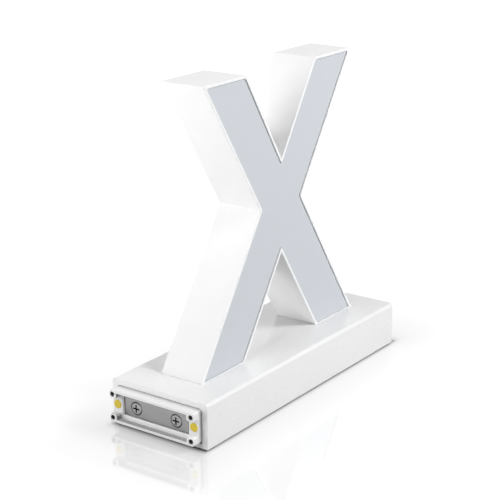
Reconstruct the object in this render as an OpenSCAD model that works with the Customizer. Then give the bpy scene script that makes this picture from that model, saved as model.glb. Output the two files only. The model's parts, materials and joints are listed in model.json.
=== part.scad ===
// Light-up letter on a bar base that plugs onto its neighbours.
// Frame: X along the base, letter front towards -Y, Z up from the table.
// The origin lies under the middle of the whole object, plug included.

/* [Base] */
// Length of the base
base_l = 146; // [140:1:180]
// Depth of the base, front to back
base_d = 50; // [50:0.5:54]
// Height of the base shell
base_h = 20; // [20:0.5:24]
// Wall of the base shell on top
base_top_t = 2.5; // [2.2:0.1:3]
// Wall of the base shell at its long sides
base_side_t = 2.7; // [2.4:0.1:2.75]
// Radius of the two long top edges
base_edge_r = 1.5; // [1:0.1:3.5]
// Thickness of the cover that closes the base from below
cover_t = 2.2; // [2:0.1:2.4]
// Gap that the rubber feet leave under the base
foot_out = 0.5; // [0.4:0.1:1.2]

/* [Letter] */
// Height of the letter above the base
letter_h = 124; // [118:1:140]
// Depth of the letter, front to back
letter_d = 21.6; // [21:0.1:26]
// Half width at the top, outer corner
top_outer = 54; // [52:0.5:58]
// Half width at the top, inner corner
top_inner = 25; // [23:0.5:27]
// Half width at the foot, outer corner
foot_outer = 58; // [56:0.5:62]
// Half width at the foot, inner corner
foot_inner = 27.6; // [26:0.2:28]
// Half width at the waist
waist_x = 15.6; // [14:0.2:17]
// Height of the waist above the base
waist_z = 64.5; // [62:0.5:67]
// Height of the upper notch above the base
notch_z = 84.2; // [82:0.2:88]
// Height of the crotch above the base
crotch_z = 42.3; // [40:0.2:44]
// Wall of the letter's shell
can_t = 2; // [1.6:0.1:2.2]
// Lip that frames the diffuser and the back panel
lip_t = 1.2; // [0.9:0.1:1.4]
// How far the diffuser sits behind the lip
face_recess = 0.5; // [0.3:0.1:1.2]
// Thickness of the diffuser
diffuser_t = 2; // [1.5:0.5:3]
// Thickness of the back panel
panel_t = 2; // [1.8:0.1:2.4]

/* [Plug and socket] */
// Width of both connector frames
frame_w = 44.1; // [43.8:0.1:44.2]
// Height of both connector frames
frame_h = 14.4; // [14:0.1:14.6]
// How far the plug stands out from the base
plug_out = 5.4; // [5:0.1:6]
// How far its bezel stands out from the base
bezel_out = 2.5; // [2.2:0.1:2.8]
// Wall of the plug's hood, above and below
hood_t = 1.2; // [1:0.1:1.4]
// Side of the square guide bosses
boss_w = 3.6; // [3.4:0.1:3.8]
// Radius of the guide holes
guide_hole_r = 1.05; // [1:0.05:1.1]
// Half distance between the guide holes across the base
guide_y = 20.6; // [20.4:0.1:20.6]
// Half distance between the guide holes in height
guide_z = 5.25; // [5:0.05:5.4]
// Half distance between the two contacts
contact_y = 20.1; // [19.9:0.05:20.1]
// Radius of the flat contacts
contact_r = 1.9; // [1.7:0.1:1.9]
// Half distance between the magnet's screws
magnet_screw_y = 10.5; // [9:0.5:12]
// Travel of the sprung contacts
contact_travel = 1.2; // [0.6:0.1:1.4]

/* [Hidden] */
$fn = 48;
slack = 0.05;
seam = 0.15;

// Places that the sub-parts share
base_x = plug_out / 2;
left = base_x - base_l / 2;
right = base_x + base_l / 2;
base_z = foot_out;
top_z = base_z + base_h;
mid_z = base_z + base_h / 2;
cover_z = base_z + cover_t;
front_y = -letter_d / 2;
back_y = letter_d / 2;
inner_y = base_d / 2 - base_side_t;
inner_edge_r = 1.5;

// Feet and underside screws
foot_r = 4.5;
foot_sunk = 0.7;
foot_x = base_l / 2 - 27;
foot_y = 16;
screw_r = 1.45;
countersink_r = 2.8;
countersink_h = 1.5;
underside_screw_l = 8;
recess_span = 1.1;
recess_width = 0.25;
recess_depth = 0.6;
post_r = 3;
post_x = 24;
post_y = 18;
tail_screw_y = 12;
plug_tail_x = 11;
socket_tail_x = 19;

// Letter outline, counter-clockwise from the right foot's inner corner
right_half = [[foot_inner, 0], [foot_outer, 0], [waist_x, waist_z], [top_outer, letter_h],
              [top_inner, letter_h]];
outline = concat(right_half, [[0, notch_z]],
                 [for (i = [4:-1:0]) [-right_half[i][0], right_half[i][1]]], [[0, crotch_z]]);
arm_x = (top_outer + top_inner) / 2;
leg_x = (foot_outer + foot_inner) / 2;
diffuser_y = front_y + face_recess;
panel_y = back_y - panel_t;

// Screws that hold the back panel, in the corners of the shell
panel_boss_r = 2.6;
panel_screw_r = 1.2;
panel_screw_l = 11;
panel_head_r = 2.2;
panel_head_h = 1.1;
boss_line = inset(outline, 4);
panel_screw_side = [boss_line[3], boss_line[2], boss_line[1] * 0.6 + boss_line[2] * 0.4];
panel_screws = [for (p = panel_screw_side, s = [-1, 1]) [s * p[0], p[1]]];

// Light board: two crossed strips on stand-offs of the back panel
strip_w = 9.5;
strip_t = 1.2;
strip_low = 12;
strip_high = 112;
strip_gap = 2;
strip_y = panel_y - strip_gap - strip_t;
chip = [3.5, 0.8, 2.8];
chip_low = 17;
chip_step = 10.5;
chip_count = 9;
strip_screw_z = [22.25, 95.75];
strip_screws = [for (z = strip_screw_z, s = [-1, 1]) [s * arm_line(z), z]];
small_screw_r = 1;
small_head_r = 1.9;
small_head_h = 1.3;
small_screw_l = 3.6;
standoff_r = 2.5;

// Blocks in the feet, their screws, and the leads' way up
anchor = [11, 13, 7];
anchor_x = 43;
anchor_screw_y = 3.5;
anchor_screw_l = 11;
pan_head_r = 2.8;
pan_head_h = 2;
bush_x = 33;
bush_r = 2.5;
bush_bore_r = 1.6;
bush_flange_r = 4;
bush_flange_h = 1.2;

// Plug: local x runs out of the base, y and z from the connector's middle
frame_corner_r = 0.8;
plug_in = 7;
tail_l = 8;
tail_w = 32;
tail_h = 8;
magnet = [4, 33.4, 8];
magnet_gap = 0.3;
magnet_face = bezel_out - 0.7;
pocket_chamfer = 0.6;
seat_r = 3.1;
seat_deep = 1.6;
magnet_head_r = 2.55;
magnet_head_edge = -0.2;
magnet_head_rise = 0.5;
dome_steps = 6;
magnet_screw_l = 7.5;
magnet_bore_more = 0.5;
cross_span = 3.4;
cross_w = 0.7;
cross_deep = 1.1;
pad_t = 0.25;
stud_r = 1;
stud_l = 12;

// Socket: a neighbour's plug goes in up to its face
socket_face = -(plug_out + 0.4);
socket_body_l = 9.2;
plinth_out = socket_face + 2.5;
plinth_wall = 0.9;
socket_magnet_face = plinth_out;
guide_pin_r = 0.95;
guide_root_r = 0.7;
guide_root_l = 5;
guide_pin_tip = -1.8;
guide_pin_point = 0.5;

// Sprung contacts in the socket
barrel_r = 1.2;
barrel_bore_r = 0.85;
barrel_mouth_r = 0.7;
barrel_shoulder = socket_face - 2.6;
barrel_tail_l = 2;
barrel_tail_r = 0.8;
plunger_r = 0.65;
collar_r = 0.8;
collar_l = 1;
contact_press = 1;
plunger_tip = contact_press - bezel_out - pad_t;
collar_front = barrel_shoulder - slack;
spring_turns = 8;
spring_turn_steps = 12;
spring_wire_r = 0.1;
spring_r = 0.65;
spring_pressed_l = 4;
spring_front = collar_front - collar_l - slack;
spring_back = spring_front - spring_pressed_l - contact_travel;
barrel_floor = spring_back - slack;
barrel_back = barrel_floor - 0.8;

// Driver board on the cover
board = [44, 18, 1.2];
board_gap = 3;
board_z = cover_z + board_gap;
board_top = board_z + board[2];
board_screw = [18, 6];

// Leads: routes in round numbers, from one end to the other
lead_r = 0.6;
lead_sides = 8;
plug_lead_x = left + stud_l - bezel_out;
plug_route = [[plug_lead_x, contact_y, mid_z], [plug_lead_x + 6, contact_y, mid_z],
              [-44, 18, 11], [-30, 13, 11], [-20, 5, 11], [-16, 2, 10], [-16, 2, board_top]];
socket_lead_x = right + barrel_back - barrel_tail_l;
socket_route = [[socket_lead_x, contact_y, mid_z], [socket_lead_x - 6, contact_y, mid_z],
                [46, 18, 11], [34, 13, 11], [26, 5, 11], [22, 2, 10], [22, 2, board_top]];
lead_gap = 0.75;
letter_route = [[16, 1.5, board_top], [16, 1.5, 12], [22, 1, 14], [30, lead_gap, 13],
                [base_x + bush_x, lead_gap, 14], [base_x + bush_x, lead_gap, 26]];
letter_route_end = [[36, 1, 30], [36, strip_y - 3, 34], [36, strip_y, 34]];
letter_lead_step = 3;

// Outline moved inwards by d, with mitred corners
function unit(v) = v / norm(v);
function normal_after(p, i) =
    let (t = unit(p[(i + 1) % len(p)] - p[i])) [-t[1], t[0]];
function inset(p, d) =
    [for (i = [0:len(p) - 1])
        let (a = normal_after(p, (i + len(p) - 1) % len(p)), b = normal_after(p, i))
        p[i] + d * (a + b) / (1 + a * b)];

// Middle of the right leg and of the left arm above it, at height z
function arm_line(z) = leg_x - (leg_x + arm_x) * z / letter_h;

// Route with its corners cut, and a tube swept along it
function cut_corners(p) =
    [p[0],
     for (i = [0:len(p) - 2]) each [p[i] * 0.75 + p[i + 1] * 0.25, p[i] * 0.25 + p[i + 1] * 0.75],
     p[len(p) - 1]];
function across(v, t) = unit(v - (v * t) * t);
function tangents(p) =
    [for (i = [0:len(p) - 1]) unit(p[min(i + 1, len(p) - 1)] - p[max(i - 1, 0)])];
function carried(t, first) =
    [for (i = 0, n = across(first, t[0]); i < len(t);
          i = i + 1, n = i < len(t) ? across(n, t[i]) : n) n];

module tube(p, r, sides, first) {
    t = tangents(p);
    n = carried(t, first);
    last = len(p) - 1;
    rings = [for (i = [0:last], k = [0:sides - 1])
        p[i] + r * (cos(360 * k / sides) * n[i] + sin(360 * k / sides) * cross(t[i], n[i]))];
    walls = [for (i = [0:last - 1], k = [0:sides - 1])
        let (a = i * sides + k, b = i * sides + (k + 1) % sides)
        each [[a, a + sides, b], [b, a + sides, b + sides]]];
    caps = [for (k = [1:sides - 2])
        each [[0, k, k + 1], [last * sides, last * sides + k + 1, last * sides + k]]];
    polyhedron(rings, concat(walls, caps));
}

// Shapes that several sub-parts share
module rounded_rect(w, h, r) {
    square([w - 2 * r, h], center = true);
    square([w, h - 2 * r], center = true);
    for (x = [-1, 1], y = [-1, 1])
        translate([x * (w / 2 - r), y * (h / 2 - r)]) circle(r);
}

module rounded_top(w, low, high, r) {
    translate([-w / 2, low]) square([w, high - low - r]);
    translate([r - w / 2, low]) square([w - 2 * r, high - low]);
    for (x = [-1, 1]) translate([x * (w / 2 - r), high - r]) circle(r);
}

module along_x(x0, x1) {
    translate([x0, 0, 0]) rotate([90, 0, 90]) linear_extrude(x1 - x0) children();
}

module along_y(y0, y1) {
    translate([0, y1, 0]) rotate([90, 0, 0]) linear_extrude(y1 - y0) children();
}

module rod_x(x0, x1, r) { translate([x0, 0, 0]) rotate([0, 90, 0]) cylinder(x1 - x0, r = r); }

module rod_y(y0, y1, r) { translate([0, y0, 0]) rotate([-90, 0, 0]) cylinder(y1 - y0, r = r); }

module rod_z(z0, z1, r) { translate([0, 0, z0]) cylinder(z1 - z0, r = r); }

module box(x0, x1, w, h) { translate([x0, -w / 2, -h / 2]) cube([x1 - x0, w, h]); }

module at_letter() { translate([base_x, 0, top_z]) children(); }

module at_plug() { translate([left, 0, mid_z]) mirror([1, 0, 0]) children(); }

module at_socket() { translate([right, 0, mid_z]) children(); }

module on_outline(points) { for (p = points) translate([p[0], 0, p[1]]) children(); }

// Countersunk screw or its hole, head at z = 0 and shank upwards
module countersunk(r, l, head_r, head_h) {
    cylinder(head_h, r1 = head_r, r2 = r);
    cylinder(l, r = r);
}

// Pan-head screw with its head below z = 0 and a cross recess
module pan_head(r, l, head_r, head_h) {
    rod_z(-slack, l, r);
    difference() {
        rod_z(-head_h, 0, head_r);
        cross_recess(head_r, head_h);
    }
}

// Cross-shaped cut into a head whose face is at z = -head_h
module cross_recess(head_r, head_h) {
    span = head_r * recess_span;
    width = span * recess_width;
    for (turn = [0, 90])
        rotate([0, 0, turn])
            translate([-span / 2, -width / 2, -head_h - 1])
                cube([span, width, head_h * recess_depth + 1]);
}

// Base
module four_places(x, y) {
    for (i = [-1, 1], j = [-1, 1]) translate([base_x + i * x, j * y, 0]) children();
}

module post_places() { four_places(post_x, post_y) children(); }

module board_places() { four_places(board_screw[0], board_screw[1]) children(); }

module underside_places() {
    post_places() children();
    for (y = [-1, 1]) {
        translate([left + plug_tail_x, y * tail_screw_y, 0]) children();
        translate([right - socket_tail_x, y * tail_screw_y, 0]) children();
    }
}

module anchor_screw_places() {
    for (x = [-1, 1], y = [-1, 1])
        translate([x * anchor_x, y * anchor_screw_y, 0]) children();
}

module base_shell() {
    color("white") difference() {
        union() {
            difference() {
                along_x(left, right) rounded_top(base_d, base_z, top_z, base_edge_r);
                along_x(left - 1, right + 1)
                    rounded_top(2 * inner_y, base_z - 1, top_z - base_top_t, inner_edge_r);
            }
            post_places() rod_z(cover_z, top_z - 1, post_r);
        }
        post_places() rod_z(cover_z - 1, base_z + underside_screw_l + 1, screw_r + slack);
        translate([base_x, 0, 0]) {
            anchor_screw_places() rod_z(top_z - base_top_t - 1, top_z + 1, screw_r + slack);
            translate([bush_x, 0, 0]) rod_z(top_z - base_top_t - 1, top_z + 1, bush_r + slack);
        }
    }
}

module bottom_cover() {
    color("gainsboro") difference() {
        union() {
            translate([left, seam - inner_y, base_z])
                cube([base_l, 2 * (inner_y - seam), cover_t]);
            board_places() rod_z(cover_z - 1, board_z, standoff_r);
        }
        underside_places() translate([0, 0, base_z - slack])
            countersunk(screw_r + slack, cover_t + 1, countersink_r + slack, countersink_h + slack);
        four_places(foot_x, foot_y) rod_z(base_z - 1, base_z + foot_sunk, foot_r + slack);
        board_places() rod_z(board_z - small_screw_l + 1, board_z + 1, small_screw_r + slack);
    }
}

module underside_screws() {
    color("silver") underside_places() translate([0, 0, base_z])
        difference() {
            countersunk(screw_r, underside_screw_l, countersink_r, countersink_h);
            translate([0, 0, countersink_h]) cross_recess(countersink_r, countersink_h);
        }
}

module foot(x, y) {
    color("dimgray") translate([base_x + x * foot_x, y * foot_y, 0])
        rod_z(0, foot_out + foot_sunk, foot_r);
}

// Letter
module letter_shell() {
    color("white") at_letter() difference() {
        union() {
            difference() {
                along_y(front_y, back_y) polygon(outline);
                along_y(front_y - 1, back_y + 1) polygon(inset(outline, can_t));
            }
            intersection() {
                on_outline(panel_screws) rod_y(diffuser_y, panel_y, panel_boss_r);
                along_y(front_y, back_y) polygon(outline);
            }
        }
        along_y(front_y - 1, diffuser_y + diffuser_t) polygon(inset(outline, lip_t));
        along_y(panel_y, back_y + 1) polygon(inset(outline, lip_t));
        on_outline(panel_screws)
            rod_y(back_y - panel_screw_l - 1, back_y, panel_screw_r + slack);
        anchor_screw_places() rod_z(-1, can_t + 1, screw_r + slack);
        translate([bush_x, 0, 0]) rod_z(-1, can_t + 1, bush_r + slack);
    }
}

module back_panel() {
    color("white") at_letter() difference() {
        union() {
            along_y(panel_y, back_y) polygon(inset(outline, lip_t + seam));
            on_outline(strip_screws) rod_y(panel_y - strip_gap, panel_y + 1, standoff_r);
        }
        on_outline(panel_screws) translate([0, back_y + slack, 0]) rotate([90, 0, 0])
            countersunk(panel_screw_r + slack, panel_t + 1, panel_head_r + slack,
                        panel_head_h + slack);
        on_outline(strip_screws)
            rod_y(panel_y - strip_gap - 1, strip_y + small_screw_l, small_screw_r + slack);
    }
}

module back_panel_screws() {
    color("silver") at_letter() on_outline(panel_screws)
        translate([0, back_y, 0]) rotate([90, 0, 0])
            difference() {
                countersunk(panel_screw_r, panel_screw_l, panel_head_r, panel_head_h);
                translate([0, 0, panel_head_h]) cross_recess(panel_head_r, panel_head_h);
            }
}

module front_diffuser() {
    color([0.81, 0.83, 0.85]) at_letter()
        along_y(diffuser_y, diffuser_y + diffuser_t) polygon(inset(outline, lip_t + seam));
}

module strip(side) {
    half = strip_w / 2 * norm([leg_x + arm_x, letter_h]) / letter_h;
    polygon([for (c = [[-1, strip_low], [1, strip_low], [1, strip_high], [-1, strip_high]])
        [side * (arm_line(c[1]) + c[0] * half), c[1]]]);
}

module led_board() {
    color("whitesmoke") at_letter() difference() {
        for (s = [-1, 1]) along_y(strip_y, strip_y + strip_t) strip(s);
        on_outline(strip_screws) rod_y(strip_y - 1, panel_y, small_screw_r + slack);
    }
}

module led_chips() {
    color("khaki") at_letter()
        for (i = [0:chip_count - 1], s = [-1, 1])
            let (z = chip_low + i * chip_step)
            translate([s * arm_line(z) - chip[0] / 2, strip_y - chip[1], z - chip[2] / 2]) cube(chip);
}

module led_board_screws() {
    color("silver") at_letter() on_outline(strip_screws)
        translate([0, strip_y, 0]) rotate([-90, 0, 0])
            pan_head(small_screw_r, small_screw_l - slack, small_head_r, small_head_h);
}

module anchor_block(side) {
    color("silver") at_letter() difference() {
        translate([side * anchor_x - anchor[0] / 2, -anchor[1] / 2, can_t]) cube(anchor);
        anchor_screw_places() rod_z(0, letter_h, screw_r + slack);
    }
}

module letter_fixing_screws() {
    color("silver") translate([base_x, 0, top_z - base_top_t]) anchor_screw_places()
        pan_head(screw_r, anchor_screw_l, pan_head_r, pan_head_h);
}

module cable_bush() {
    color("dimgray") translate([base_x + bush_x, 0, top_z - base_top_t]) difference() {
        union() {
            rod_z(0, base_top_t + can_t, bush_r);
            rod_z(-bush_flange_h, 0, bush_flange_r);
        }
        rod_z(-bush_flange_h - 1, base_top_t + can_t + 1, bush_bore_r);
    }
}

// Plug at the left end
module hood_section() {
    for (z = [-1, 1]) {
        translate([0, z * (frame_h - hood_t) / 2])
            square([frame_w - 2 * frame_corner_r, hood_t], center = true);
        for (y = [-1, 1])
            translate([y * (frame_w - boss_w) / 2, z * (frame_h - boss_w) / 2])
                rounded_rect(boss_w, boss_w, frame_corner_r);
    }
}

// Cut whose mouth widens by the chamfer, from x0 out to x1
module flared_pocket(x0, x1, w, h, chamfer) {
    box(x0, x1 + 1, w, h);
    intersection() {
        translate([0, 0, -h]) linear_extrude(2 * h) flare(x1, w, chamfer);
        rotate([90, 0, 0]) translate([0, 0, -w]) linear_extrude(2 * w) flare(x1, h, chamfer);
    }
}

module flare(x1, w, chamfer) {
    polygon([[x1 - chamfer, -w / 2], [x1, -w / 2 - chamfer], [x1, w / 2 + chamfer],
             [x1 - chamfer, w / 2]]);
}

module contact_places() { for (y = [-1, 1]) translate([0, y * contact_y, 0]) children(); }

module magnet_screw_places() { for (y = [-1, 1]) translate([0, y * magnet_screw_y, 0]) children(); }

module guide_places() {
    for (y = [-1, 1], z = [-1, 1]) translate([0, y * guide_y, z * guide_z]) children();
}

module tail(x0) {
    translate([x0 - tail_l, -tail_w / 2, -frame_h / 2]) cube([tail_l + 1, tail_w, tail_h]);
}

module tail_holes(x) {
    for (y = [-1, 1])
        translate([-x, y * tail_screw_y, 0])
            rod_z(-base_h / 2, underside_screw_l + 1 - base_h / 2, screw_r + slack);
}

module plug_frame() {
    color("whitesmoke") at_plug() difference() {
        union() {
            along_x(-plug_in, bezel_out) rounded_rect(frame_w, frame_h, frame_corner_r);
            along_x(bezel_out - 1, plug_out) hood_section();
            tail(-plug_in);
        }
        flared_pocket(magnet_face - magnet[0], bezel_out, magnet[1] + 2 * magnet_gap,
                      magnet[2] + 2 * magnet_gap, pocket_chamfer);
        guide_places() rod_x(0, plug_out + 1, guide_hole_r);
        contact_places() rod_x(-plug_in - 1, bezel_out + 1, stud_r + slack);
        magnet_screw_places()
            rod_x(magnet_face - magnet_screw_l - magnet_bore_more, 0, screw_r + slack);
        tail_holes(plug_tail_x);
    }
}

module bar_magnet(face) {
    difference() {
        box(face - magnet[0], face, magnet[1], magnet[2]);
        magnet_screw_places() {
            rod_x(face - magnet[0] - 1, face, screw_r + slack);
            rod_x(face - seat_deep, face + 1, seat_r);
        }
    }
}

// Domed screws that sit in the magnet's round seats and point into the base
module magnet_screws(face) {
    dome_r = (magnet_head_r ^ 2 + magnet_head_rise ^ 2) / (2 * magnet_head_rise);
    dome_turn = asin(magnet_head_r / dome_r) / dome_steps;
    top = magnet_head_edge + magnet_head_rise;
    dome = [for (i = [dome_steps:-1:0])
        [dome_r * sin(i * dome_turn), top - dome_r * (1 - cos(i * dome_turn))]];
    shank = [[0, -magnet_screw_l], [screw_r, -magnet_screw_l], [screw_r, -seat_deep],
             [magnet_head_r, -seat_deep]];
    magnet_screw_places() translate([face, 0, 0]) difference() {
        rotate([0, 90, 0]) rotate_extrude() polygon(concat(shank, dome));
        for (turn = [0, 90])
            rotate([turn, 0, 0])
                translate([top - cross_deep, -cross_span / 2, -cross_w / 2])
                    cube([cross_deep + 1, cross_span, cross_w]);
    }
}

module plug_magnet() { color("gray") at_plug() bar_magnet(magnet_face); }

module plug_magnet_screws() { color("silver") at_plug() magnet_screws(magnet_face); }

module plug_contact(side) {
    color("gold") at_plug() translate([0, side * contact_y, 0]) {
        rod_x(bezel_out, bezel_out + pad_t, contact_r);
        rod_x(bezel_out - stud_l, bezel_out + pad_t / 2, stud_r);
    }
}

// Socket at the right end
module socket_frame() {
    color("whitesmoke") at_socket() difference() {
        union() {
            along_x(socket_face - socket_body_l, socket_face)
                rounded_rect(frame_w, frame_h, frame_corner_r);
            box(socket_face - 1, plinth_out, magnet[1] + 2 * (seam + plinth_wall),
                magnet[2] + 2 * (seam + plinth_wall));
            tail(socket_face - socket_body_l);
        }
        box(socket_magnet_face - magnet[0], plinth_out + 1, magnet[1] + 2 * seam,
            magnet[2] + 2 * seam);
        magnet_screw_places()
            rod_x(socket_magnet_face - magnet_screw_l - magnet_bore_more, socket_face,
                  screw_r + slack);
        guide_places() rod_x(socket_face - guide_root_l, socket_face + 1, guide_root_r + slack);
        contact_places() rod_x(barrel_back - 1, socket_face + 1, barrel_r + slack);
        tail_holes(socket_tail_x);
    }
}

module socket_magnet() { color("gray") at_socket() bar_magnet(socket_magnet_face); }

module socket_magnet_screws() { color("silver") at_socket() magnet_screws(socket_magnet_face); }

module guide_pins() {
    color("silver") at_socket() guide_places() {
        rod_x(socket_face - guide_root_l, socket_face + 1, guide_root_r);
        rod_x(socket_face, guide_pin_tip - guide_pin_point, guide_pin_r);
        translate([guide_pin_tip - guide_pin_point, 0, 0]) rotate([0, 90, 0])
            cylinder(guide_pin_point, r1 = guide_pin_r, r2 = guide_pin_r - guide_pin_point);
    }
}

module contact_barrel(side) {
    color("goldenrod") at_socket() translate([0, side * contact_y, 0]) difference() {
        union() {
            rod_x(barrel_back, socket_face, barrel_r);
            rod_x(barrel_back - barrel_tail_l, barrel_back + barrel_tail_r, barrel_tail_r);
        }
        rod_x(barrel_floor, barrel_shoulder, barrel_bore_r);
        rod_x(barrel_shoulder - 1, socket_face + 1, barrel_mouth_r);
    }
}

module contact_plunger(side) {
    color("gold") at_socket() translate([0, side * contact_y, 0]) {
        rod_x(collar_front - collar_l, collar_front, collar_r);
        rod_x(collar_front - collar_l, plunger_tip - plunger_r, plunger_r);
        translate([plunger_tip - plunger_r, 0, 0]) sphere(plunger_r);
    }
}

module contact_spring(side) {
    steps = spring_turns * spring_turn_steps;
    rise = spring_front - spring_back - 2 * spring_wire_r;
    coil = [for (i = [0:steps])
        let (turn = 360 * i / spring_turn_steps)
        [spring_back + spring_wire_r + rise * i / steps, spring_r * cos(turn), spring_r * sin(turn)]];
    color("silver") at_socket() translate([0, side * contact_y, 0])
        tube(coil, spring_wire_r, 6, [1, 0, 0]);
}

// Driver board and leads
module driver_board() {
    color("seagreen") difference() {
        translate([base_x - board[0] / 2, -board[1] / 2, board_z]) cube(board);
        board_places() rod_z(board_z - 1, board_top + 1, small_screw_r + slack);
    }
}

// Inductor, two capacitors, converter chip and resettable fuse
module board_components() {
    color("black") translate([base_x, 0, board_top]) {
        translate([-9, -6, 0]) cube([6, 6, 3]);
        for (x = [-10, 6]) translate([x, 5, 0]) rod_z(0, 4, 2);
        translate([-1, -3, 0]) cube([5, 4, 1.5]);
        translate([5, -7, 0]) cube([4.5, 3.2, 1]);
    }
}

module board_screws() {
    color("silver") board_places() translate([0, 0, board_top]) rotate([180, 0, 0])
        pan_head(small_screw_r, small_screw_l - slack, small_head_r, small_head_h);
}

function mirrored(route, side) = [for (p = route) [p[0], side * p[1], p[2]]];

module lead(route, paint) {
    color(paint) tube(cut_corners(cut_corners(route)), lead_r, lead_sides, [0.2, 1, 0.1]);
}

// Both leads pass the bush side by side, then turn back to the light board
module letter_lead(side, paint) {
    end = [for (p = letter_route_end) p + [(1 - side) / 2 * letter_lead_step, 0, 0]];
    lead(concat(mirrored(letter_route, side), end), paint);
}

base_shell();
bottom_cover();
underside_screws();
foot(-1, -1);  // foot_front_left
foot(1, -1);  // foot_front_right
foot(-1, 1);  // foot_rear_left
foot(1, 1);  // foot_rear_right
letter_shell();
back_panel();
back_panel_screws();
front_diffuser();
led_board();
led_chips();
led_board_screws();
anchor_block(-1);  // anchor_block_left
anchor_block(1);  // anchor_block_right
letter_fixing_screws();
cable_bush();
plug_frame();
plug_magnet();
plug_magnet_screws();
plug_contact(-1);  // plug_contact_front
plug_contact(1);  // plug_contact_rear
socket_frame();
socket_magnet();
socket_magnet_screws();
guide_pins();
contact_barrel(-1);  // contact_barrel_front
contact_barrel(1);  // contact_barrel_rear
contact_plunger(-1);  // contact_plunger_front
contact_plunger(1);  // contact_plunger_rear
contact_spring(-1);  // contact_spring_front
contact_spring(1);  // contact_spring_rear
driver_board();
board_components();
board_screws();
lead(mirrored(plug_route, -1), "black");  // plug_lead_front
lead(mirrored(plug_route, 1), "red");  // plug_lead_rear
lead(mirrored(socket_route, -1), "black");  // socket_lead_front
lead(mirrored(socket_route, 1), "red");  // socket_lead_rear
letter_lead(-1, "black");  // letter_lead_front
letter_lead(1, "red");  // letter_lead_rear
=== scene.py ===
import json
import math

import bmesh
import bpy
from mathutils import Matrix, Vector


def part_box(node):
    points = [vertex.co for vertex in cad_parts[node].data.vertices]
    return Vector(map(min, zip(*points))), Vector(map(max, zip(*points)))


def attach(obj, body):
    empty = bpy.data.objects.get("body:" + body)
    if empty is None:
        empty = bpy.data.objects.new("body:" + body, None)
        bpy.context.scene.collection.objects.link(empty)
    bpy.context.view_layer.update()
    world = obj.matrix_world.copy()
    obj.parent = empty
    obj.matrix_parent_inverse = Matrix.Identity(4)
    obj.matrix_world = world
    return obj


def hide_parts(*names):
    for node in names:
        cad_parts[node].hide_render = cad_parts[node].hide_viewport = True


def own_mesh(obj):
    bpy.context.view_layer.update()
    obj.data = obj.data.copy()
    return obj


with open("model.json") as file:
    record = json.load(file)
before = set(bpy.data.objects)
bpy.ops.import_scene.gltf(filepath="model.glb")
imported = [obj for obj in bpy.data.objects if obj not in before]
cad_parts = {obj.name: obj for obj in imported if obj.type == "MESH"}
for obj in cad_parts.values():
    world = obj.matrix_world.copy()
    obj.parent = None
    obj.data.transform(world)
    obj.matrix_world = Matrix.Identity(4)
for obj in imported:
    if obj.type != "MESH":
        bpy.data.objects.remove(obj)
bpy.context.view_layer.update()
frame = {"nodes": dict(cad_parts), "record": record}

mm = 0.001
scene = bpy.context.scene
scene.view_settings.view_transform = "Standard"

# camera, fitted to the photo's corners and hole centres
shot = {
    "azimuth": -54.14,
    "elevation": 17.85,
    "roll": -0.31,
    "distance": 625.7,  # mm
    "target": (-5.87, 0.0, 64.01),  # mm
    "lens": 103.75,
    "clip": (0.01, 50),  # m
}


def outward(turn, rise):
    # radians round from the front and up
    return Vector((math.sin(turn) * math.cos(rise), -math.cos(turn) * math.cos(rise), math.sin(rise)))


def aimCamera():
    turn, rise, roll = (math.radians(shot[k]) for k in ("azimuth", "elevation", "roll"))
    back = outward(turn, rise)
    level = Vector((math.cos(turn), math.sin(turn), 0))
    upright = back.cross(level)
    right = level * math.cos(roll) + upright * math.sin(roll)
    up = upright * math.cos(roll) - level * math.sin(roll)
    data = bpy.data.cameras.new("photoCamera")
    data.lens = shot["lens"]
    data.clip_start, data.clip_end = shot["clip"]
    camera = bpy.data.objects.new("photoCamera", data)
    place = (Vector(shot["target"]) + back * shot["distance"]) * mm
    camera.matrix_world = Matrix.Translation(place) @ Matrix((right, up, back)).transposed().to_4x4()
    scene.collection.objects.link(camera)
    scene.camera = camera


aimCamera()

# floor, sky and lamps
studio = {
    "floorHalf": 6.0,  # m
    "floorCuts": 4,
    "floorSeen": 0.2,  # its white to the camera and in reflections
    "floorBounce": 0.45,  # and to the light that it throws back
    "floorRough": 0.015,
    "floorIor": 2.0,  # a polished sheet, it mirrors the plug
    "footprint": (74, 24),  # mm, half of what stands close to the floor
    "footprintAt": 3.7,  # mm, its middle
    "glowReach": 400,  # mm from the base
    "endSpread": 0.5,  # the painted shadow runs out further at the ends, under the plug
    # glow stops by distance from the base; the low ones close to it paint a contact shadow on the floor
    "glow": [(0, 0), (0.0025, 0.29), (0.005, 0.54), (0.015, 0.58), (0.05, 0.65),
             (0.1, 0.69), (0.2, 0.78), (0.4, 0.9)],
    "sky": 0.02,
    "away": 1100,  # mm from the lamps to the letter
    "side": 450,  # mm
    "aim": 60,  # mm above the floor
    "lamps": {  # degrees round from the front, degrees up, watts
        "keyPanel": (22, 36, 11.8),
        "rightPanel": (90, 8, 1.5),
        "rearPanel": (225, 8, 4.1),
        "leftPanel": (250, 15, 2.9),
        "highLeft": (270, 55, 4.6),
    },
    "card": {"at": (-300, 300, 2), "side": 400, "watts": 1.85},  # on the floor, lights the arms from below
}


def seenRays(tree):
    # 1 for rays from the camera, a mirror or glass, so that they all see the same white
    path = tree.nodes.new("ShaderNodeLightPath")
    seen = path.outputs["Is Camera Ray"]
    for kind in ("Is Glossy Ray", "Is Transmission Ray"):
        most = tree.nodes.new("ShaderNodeMath")
        most.operation = "MAXIMUM"
        tree.links.new(seen, most.inputs[0])
        tree.links.new(path.outputs[kind], most.inputs[1])
        seen = most.outputs[0]
    return seen


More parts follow.
